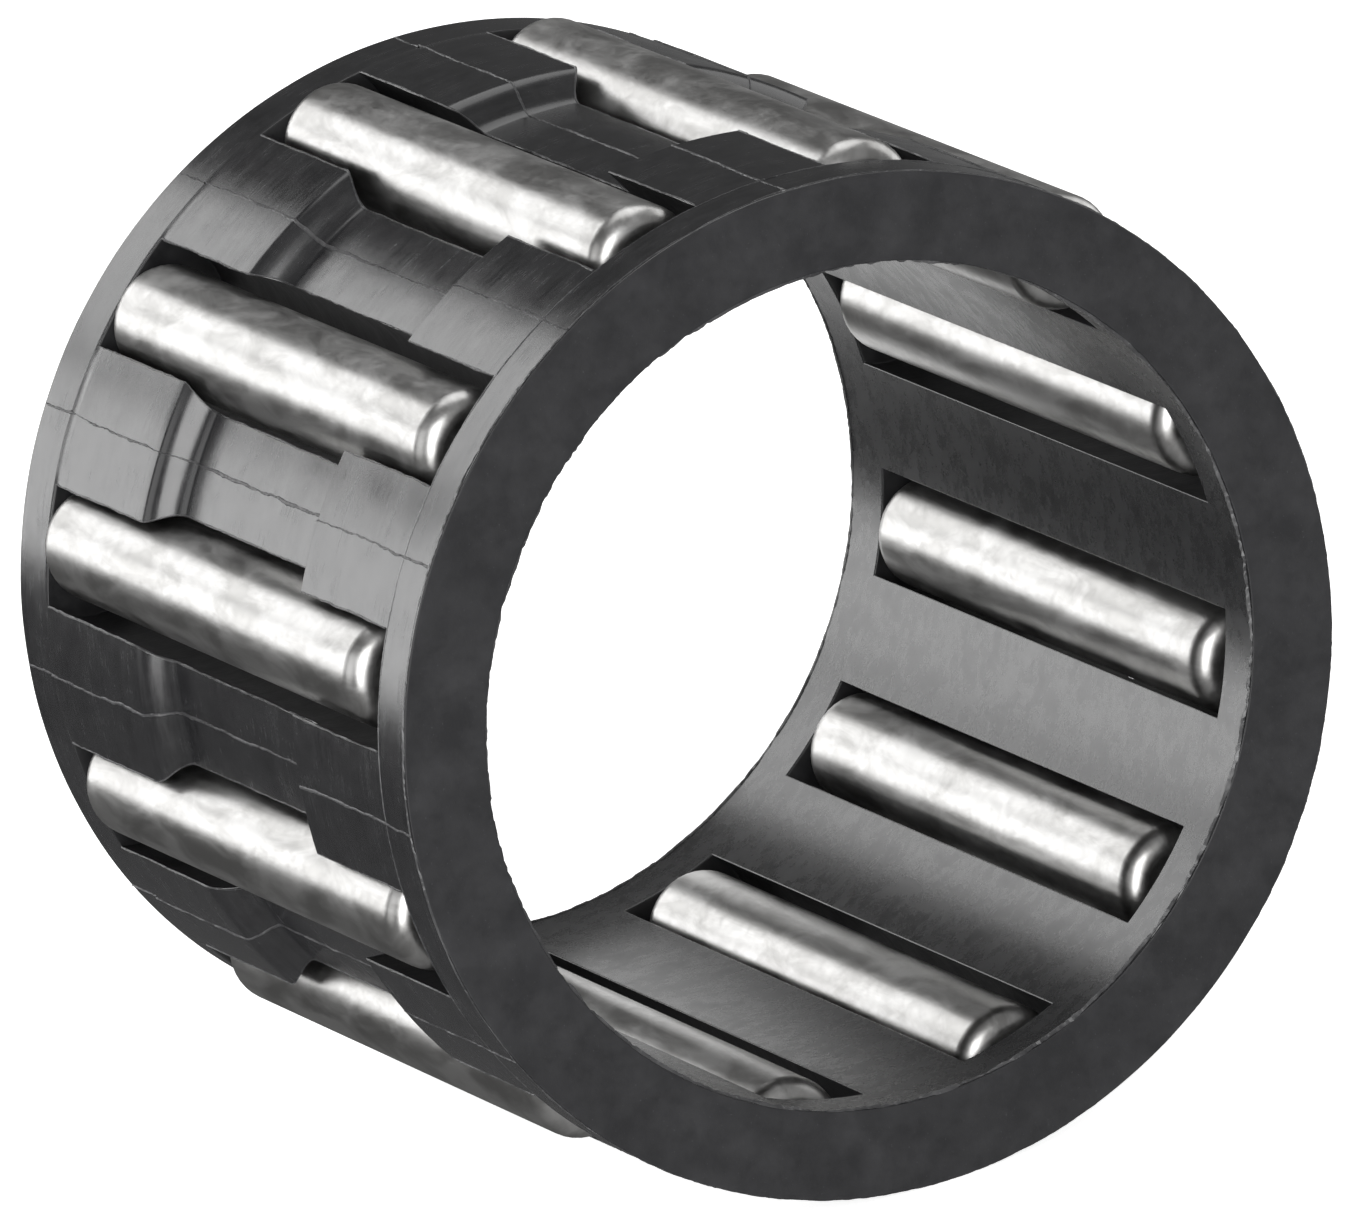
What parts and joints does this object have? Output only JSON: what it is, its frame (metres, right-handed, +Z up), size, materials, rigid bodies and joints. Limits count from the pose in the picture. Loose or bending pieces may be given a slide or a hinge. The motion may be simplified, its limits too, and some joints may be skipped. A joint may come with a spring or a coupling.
{
  "type": "needle roller and cage assembly",
  "caption": "Needle roller and cage assembly: bright steel needle rollers held loose in the round pockets of a black moulded polymer cage, open right through for a shaft.",
  "frame": {"origin": "middle of the bore, half-way between the two end faces", "axes": "+Y along the bearing's axis from the front end face to the rear end face, +Z up, +X to the right seen from the front"},
  "size_m": [0.0176, 0.0144, 0.0176],
  "materials": {
    "cage_polymer": "black moulded glass-filled polyamide, satin on the turned faces and matt on the end faces",
    "roller_steel": "ground and tumbled bearing steel"
  },
  "bodies": {
    "cage": {"cage": "cage_polymer"},
    "roller_01": {"roller_01": "roller_steel"},
    "roller_02": {"roller_02": "roller_steel"},
    "roller_03": {"roller_03": "roller_steel"},
    "roller_04": {"roller_04": "roller_steel"},
    "roller_05": {"roller_05": "roller_steel"},
    "roller_06": {"roller_06": "roller_steel"},
    "roller_07": {"roller_07": "roller_steel"},
    "roller_08": {"roller_08": "roller_steel"},
    "roller_09": {"roller_09": "roller_steel"},
    "roller_10": {"roller_10": "roller_steel"},
    "roller_11": {"roller_11": "roller_steel"},
    "roller_12": {"roller_12": "roller_steel"}
  },
  "joints": [
    {"name": "roller_01_spin", "type": "hinge", "parent": "cage", "child": "roller_01", "pos_m": [0.00212, 0.00012, 0.00779], "axis": [0, 1, 0], "continuous": true},
    {"name": "roller_02_spin", "type": "hinge", "parent": "cage", "child": "roller_02", "pos_m": [0.00568, 0.00016, 0.00574], "axis": [0, 1, 0], "continuous": true},
    {"name": "roller_03_spin", "type": "hinge", "parent": "cage", "child": "roller_03", "pos_m": [0.00778, 0.00009, 0.00214], "axis": [0, 1, 0], "continuous": true},
    {"name": "roller_04_spin", "type": "hinge", "parent": "cage", "child": "roller_04", "pos_m": [0.00776, 0.00013, -0.0022], "axis": [0, 1, 0], "continuous": true},
    {"name": "roller_05_spin", "type": "hinge", "parent": "cage", "child": "roller_05", "pos_m": [0.00579, 0.00016, -0.00562], "axis": [0, 1, 0], "continuous": true},
    {"name": "roller_06_spin", "type": "hinge", "parent": "cage", "child": "roller_06", "pos_m": [0.00214, 0.0001, -0.00778], "axis": [0, 1, 0], "continuous": true},
    {"name": "roller_07_spin", "type": "hinge", "parent": "cage", "child": "roller_07", "pos_m": [-0.00213, 0.00014, -0.00778], "axis": [0, 1, 0], "continuous": true},
    {"name": "roller_08_spin", "type": "hinge", "parent": "cage", "child": "roller_08", "pos_m": [-0.00569, 0.00016, -0.00573], "axis": [0, 1, 0], "continuous": true},
    {"name": "roller_09_spin", "type": "hinge", "parent": "cage", "child": "roller_09", "pos_m": [-0.00781, 0.00008, -0.00205], "axis": [0, 1, 0], "continuous": true},
    {"name": "roller_10_spin", "type": "hinge", "parent": "cage", "child": "roller_10", "pos_m": [-0.00776, 0.00015, 0.0022], "axis": [0, 1, 0], "continuous": true},
    {"name": "roller_11_spin", "type": "hinge", "parent": "cage", "child": "roller_11", "pos_m": [-0.00579, 0.00011, 0.00562], "axis": [0, 1, 0], "continuous": true},
    {"name": "roller_12_spin", "type": "hinge", "parent": "cage", "child": "roller_12", "pos_m": [-0.00205, 0.00014, 0.00781], "axis": [0, 1, 0], "continuous": true}
  ]
}
